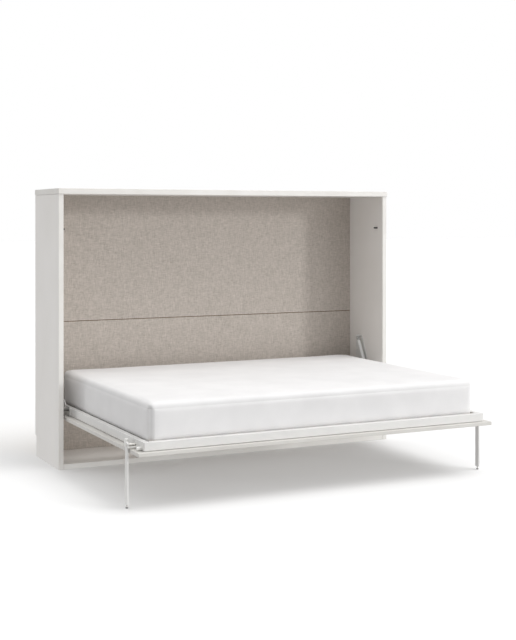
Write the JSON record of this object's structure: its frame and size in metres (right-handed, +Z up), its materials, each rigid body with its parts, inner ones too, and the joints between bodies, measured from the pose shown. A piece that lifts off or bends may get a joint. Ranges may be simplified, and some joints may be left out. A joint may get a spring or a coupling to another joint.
{
  "type": "wall bed",
  "caption": "Horizontal fold-down wall bed: a floor-standing cabinet whose door panel tilts down on gas struts as a slatted bed with mattress and folding legs.",
  "frame": {"origin": "on the floor, in the middle of the rectangle that the open bed and its cabinet cover", "axes": "+X along the cabinet to its right end, +Y towards the wall, +Z up"},
  "size_m": [2.135, 1.61, 1.56],
  "materials": {
    "white_board": "satin",
    "linen_board": "matte",
    "raw_board": "matte",
    "slat_wood": "satin",
    "coated_steel": "satin",
    "white_steel": "satin",
    "zinc_steel": "satin",
    "strut_grey": "satin",
    "dark_plastic": "matte",
    "grey_plastic": "matte",
    "white_plastic": "satin",
    "dark_rubber": "matte",
    "mattress_cover": "matte"
  },
  "bodies": {
    "cabinet": {"top_panel": "white_board", "left_side_panel": "white_board", "right_side_panel": "white_board", "bottom_panel": "white_board", "back_panel_upper": "linen_board", "back_panel_lower": "linen_board", "back_joint_strip": "raw_board", "back_cleats": "raw_board", "upper_wall_rail": "raw_board", "lower_wall_rail": "raw_board", "cabinet_dowels": "raw_board", "left_hinge_plate": "coated_steel", "right_hinge_plate": "coated_steel", "left_pivot_pin": "zinc_steel", "right_pivot_pin": "zinc_steel", "left_upper_stud": "zinc_steel", "right_upper_stud": "zinc_steel", "plate_screws": "zinc_steel", "stop_pins": "dark_plastic"},
    "bed": {"door_board_upper": "white_board", "door_board_lower": "white_board", "front_rail": "white_steel", "rear_rail": "white_steel", "left_rail": "white_steel", "right_rail": "white_steel", "front_corners": "white_plastic", "rear_corners": "white_plastic", "centre_beam": "white_steel", "slats": "slat_wood", "slat_holders": "grey_plastic", "door_brackets": "zinc_steel", "door_screws": "zinc_steel", "left_bed_bracket": "white_steel", "right_bed_bracket": "white_steel", "left_pivot_bush": "grey_plastic", "right_pivot_bush": "grey_plastic", "bracket_bolts": "zinc_steel", "left_ball_stud": "zinc_steel", "right_ball_stud": "zinc_steel", "left_leg_pin": "zinc_steel", "right_leg_pin": "zinc_steel", "leg_stops": "white_plastic", "closing_buffers": "white_plastic", "mattress": "mattress_cover"},
    "left_leg": {"left_leg": "white_steel", "left_foot": "dark_plastic"},
    "right_leg": {"right_leg": "white_steel", "right_foot": "dark_plastic"},
    "left_cylinder": {"left_upper_eye": "dark_plastic", "left_strut_tube": "strut_grey", "left_strut_gland": "dark_rubber"},
    "left_rod": {"left_strut_rod": "zinc_steel", "left_ball_socket": "dark_plastic"},
    "right_cylinder": {"right_upper_eye": "dark_plastic", "right_strut_tube": "strut_grey", "right_strut_gland": "dark_rubber"},
    "right_rod": {"right_strut_rod": "zinc_steel", "right_ball_socket": "dark_plastic"}
  },
  "joints": [
    {"name": "bed_fold", "type": "hinge", "parent": "cabinet", "child": "bed", "pos_m": [0, 0.392, 0.324], "axis": [-1, 0, 0], "range_deg": [0, 90]},
    {"name": "left_leg_fold", "type": "hinge", "parent": "bed", "child": "left_leg", "pos_m": [-1.0295, -0.665, 0.304], "axis": [1, 0, 0], "range_deg": [0, 90]},
    {"name": "right_leg_fold", "type": "hinge", "parent": "bed", "child": "right_leg", "pos_m": [1.0295, -0.665, 0.304], "axis": [1, 0, 0], "range_deg": [0, 90]},
    {"name": "left_strut_swing", "type": "hinge", "parent": "cabinet", "child": "left_cylinder", "pos_m": [-1.011, 0.591, 0.617], "axis": [-1, 0, 0], "range_deg": [0, 3.2]},
    {"name": "left_strut_slide", "type": "slide", "parent": "left_cylinder", "child": "left_rod", "axis": [0, -0.4533, -0.8914], "range_m": [0, 0.0685]},
    {"name": "right_strut_swing", "type": "hinge", "parent": "cabinet", "child": "right_cylinder", "pos_m": [1.011, 0.591, 0.617], "axis": [-1, 0, 0], "range_deg": [0, 3.2]},
    {"name": "right_strut_slide", "type": "slide", "parent": "right_cylinder", "child": "right_rod", "axis": [0, -0.4533, -0.8914], "range_m": [0, 0.0685]}
  ],
  "couplings": [
    {"joint": "left_strut_swing", "follows": "bed_fold", "ratio": 0.035182},
    {"joint": "left_strut_slide", "follows": "bed_fold", "m_per_rad": 0.043187},
    {"joint": "right_strut_swing", "follows": "bed_fold", "ratio": 0.035182},
    {"joint": "right_strut_slide", "follows": "bed_fold", "m_per_rad": 0.043187}
  ]
}
